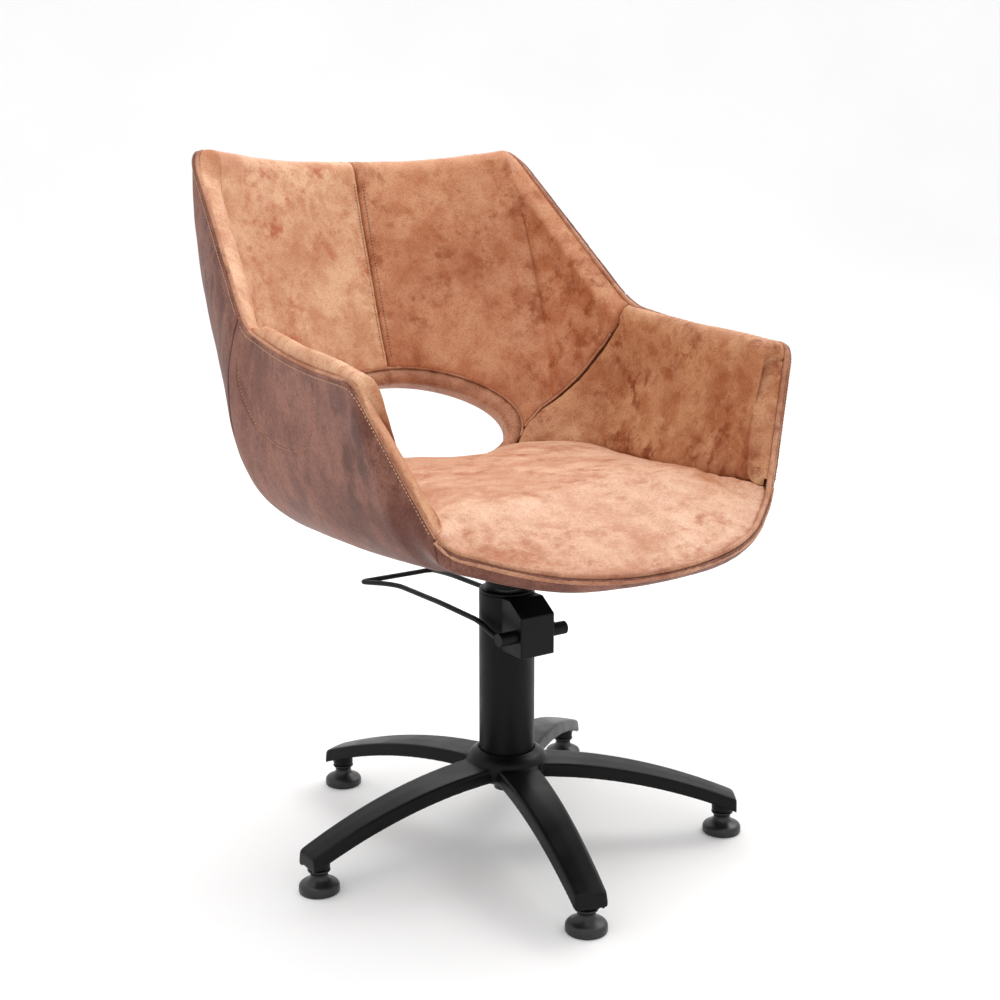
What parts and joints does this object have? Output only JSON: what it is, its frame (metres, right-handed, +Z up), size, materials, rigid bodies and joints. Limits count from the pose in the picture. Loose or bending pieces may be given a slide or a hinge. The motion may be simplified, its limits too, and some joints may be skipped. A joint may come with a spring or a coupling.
{
  "type": "styling chair",
  "caption": "Salon styling chair: a leather tub seat with a rear opening on a foot-pumped, swivelling column and a star base with levelling glides.",
  "frame": {"origin": "on the floor, under the middle of the chair's bounding box; the column axis stands 53 mm nearer the front", "axes": "+Z up, the sitter faces -Y, +X is to the sitter's left"},
  "size_m": [0.6472, 0.7308, 0.9047],
  "materials": {
    "black_casting": "satin",
    "black_steel": "satin",
    "zinc_steel": "satin",
    "bearing_bronze": "satin",
    "seal_rubber": "matte",
    "ram_chrome": "polished",
    "glide_plastic": "satin",
    "plywood": "matte",
    "outer_leather": "satin",
    "padded_leather": "satin",
    "welt_leather": "satin",
    "underside_cloth": "matte"
  },
  "bodies": {
    "base": {"star_base": "black_casting", "hub_cap": "glide_plastic", "base_nut": "zinc_steel", "pump_tube": "black_steel", "tube_plug": "zinc_steel", "pump_liner": "zinc_steel", "guide_bush": "bearing_bronze", "rod_seal": "seal_rubber", "top_cap": "black_steel", "pump_housing": "black_casting", "plunger_block": "zinc_steel", "plunger_spring": "zinc_steel"},
    "piston": {"piston_head": "zinc_steel", "piston_seal": "seal_rubber", "thrust_washer": "bearing_bronze"},
    "seat": {"ram": "ram_chrome", "seat_mount": "black_steel", "mount_bolts": "zinc_steel", "seat_board": "plywood", "tee_nuts": "zinc_steel", "tub_shell": "plywood", "outer_back_cover": "outer_leather", "outer_arm_cover_left": "outer_leather", "outer_arm_cover_right": "outer_leather", "front_border": "outer_leather", "underside_cover": "underside_cloth", "back_pad_left": "padded_leather", "back_pad_right": "padded_leather", "arm_pad_left": "padded_leather", "arm_pad_right": "padded_leather", "seat_cushion": "padded_leather", "rim_piping": "welt_leather", "seat_piping": "welt_leather", "opening_piping": "welt_leather"},
    "pedal": {"pedal_shaft": "zinc_steel", "pedal_cam": "zinc_steel", "pedal_hubs": "black_steel", "pedal_bail": "black_steel"},
    "plunger": {"plunger": "zinc_steel"},
    "glide_1": {"glide_1": "glide_plastic"},
    "glide_2": {"glide_2": "glide_plastic"},
    "glide_3": {"glide_3": "glide_plastic"},
    "glide_4": {"glide_4": "glide_plastic"},
    "glide_5": {"glide_5": "glide_plastic"}
  },
  "joints": [
    {"name": "lift", "type": "slide", "parent": "base", "child": "piston", "axis": [0, 0, 1], "range_m": [0, 0.15]},
    {"name": "swivel", "type": "hinge", "parent": "piston", "child": "seat", "pos_m": [0, -0.053, 0.127], "axis": [0, 0, 1], "continuous": true},
    {"name": "pedal_press", "type": "hinge", "parent": "base", "child": "pedal", "pos_m": [0, -0.109, 0.293], "axis": [-1, 0, 0], "range_deg": [0, 16], "stiffness_Nm_per_rad": 3, "springref_deg": -40.11},
    {"name": "plunger_stroke", "type": "slide", "parent": "base", "child": "plunger", "axis": [0, 0, -1], "range_m": [0, 0.0035], "deforming": ["plunger_spring"]},
    {"name": "glide_1_height", "type": "slide", "parent": "base", "child": "glide_1", "axis": [0, 0, -1], "range_m": [0, 0.01]},
    {"name": "glide_2_height", "type": "slide", "parent": "base", "child": "glide_2", "axis": [0, 0, -1], "range_m": [0, 0.01]},
    {"name": "glide_3_height", "type": "slide", "parent": "base", "child": "glide_3", "axis": [0, 0, -1], "range_m": [0, 0.01]},
    {"name": "glide_4_height", "type": "slide", "parent": "base", "child": "glide_4", "axis": [0, 0, -1], "range_m": [0, 0.01]},
    {"name": "glide_5_height", "type": "slide", "parent": "base", "child": "glide_5", "axis": [0, 0, -1], "range_m": [0, 0.01]}
  ],
  "couplings": [
    {"joint": "plunger_stroke", "follows": "pedal_press", "m_per_rad": 0.0124}
  ]
}
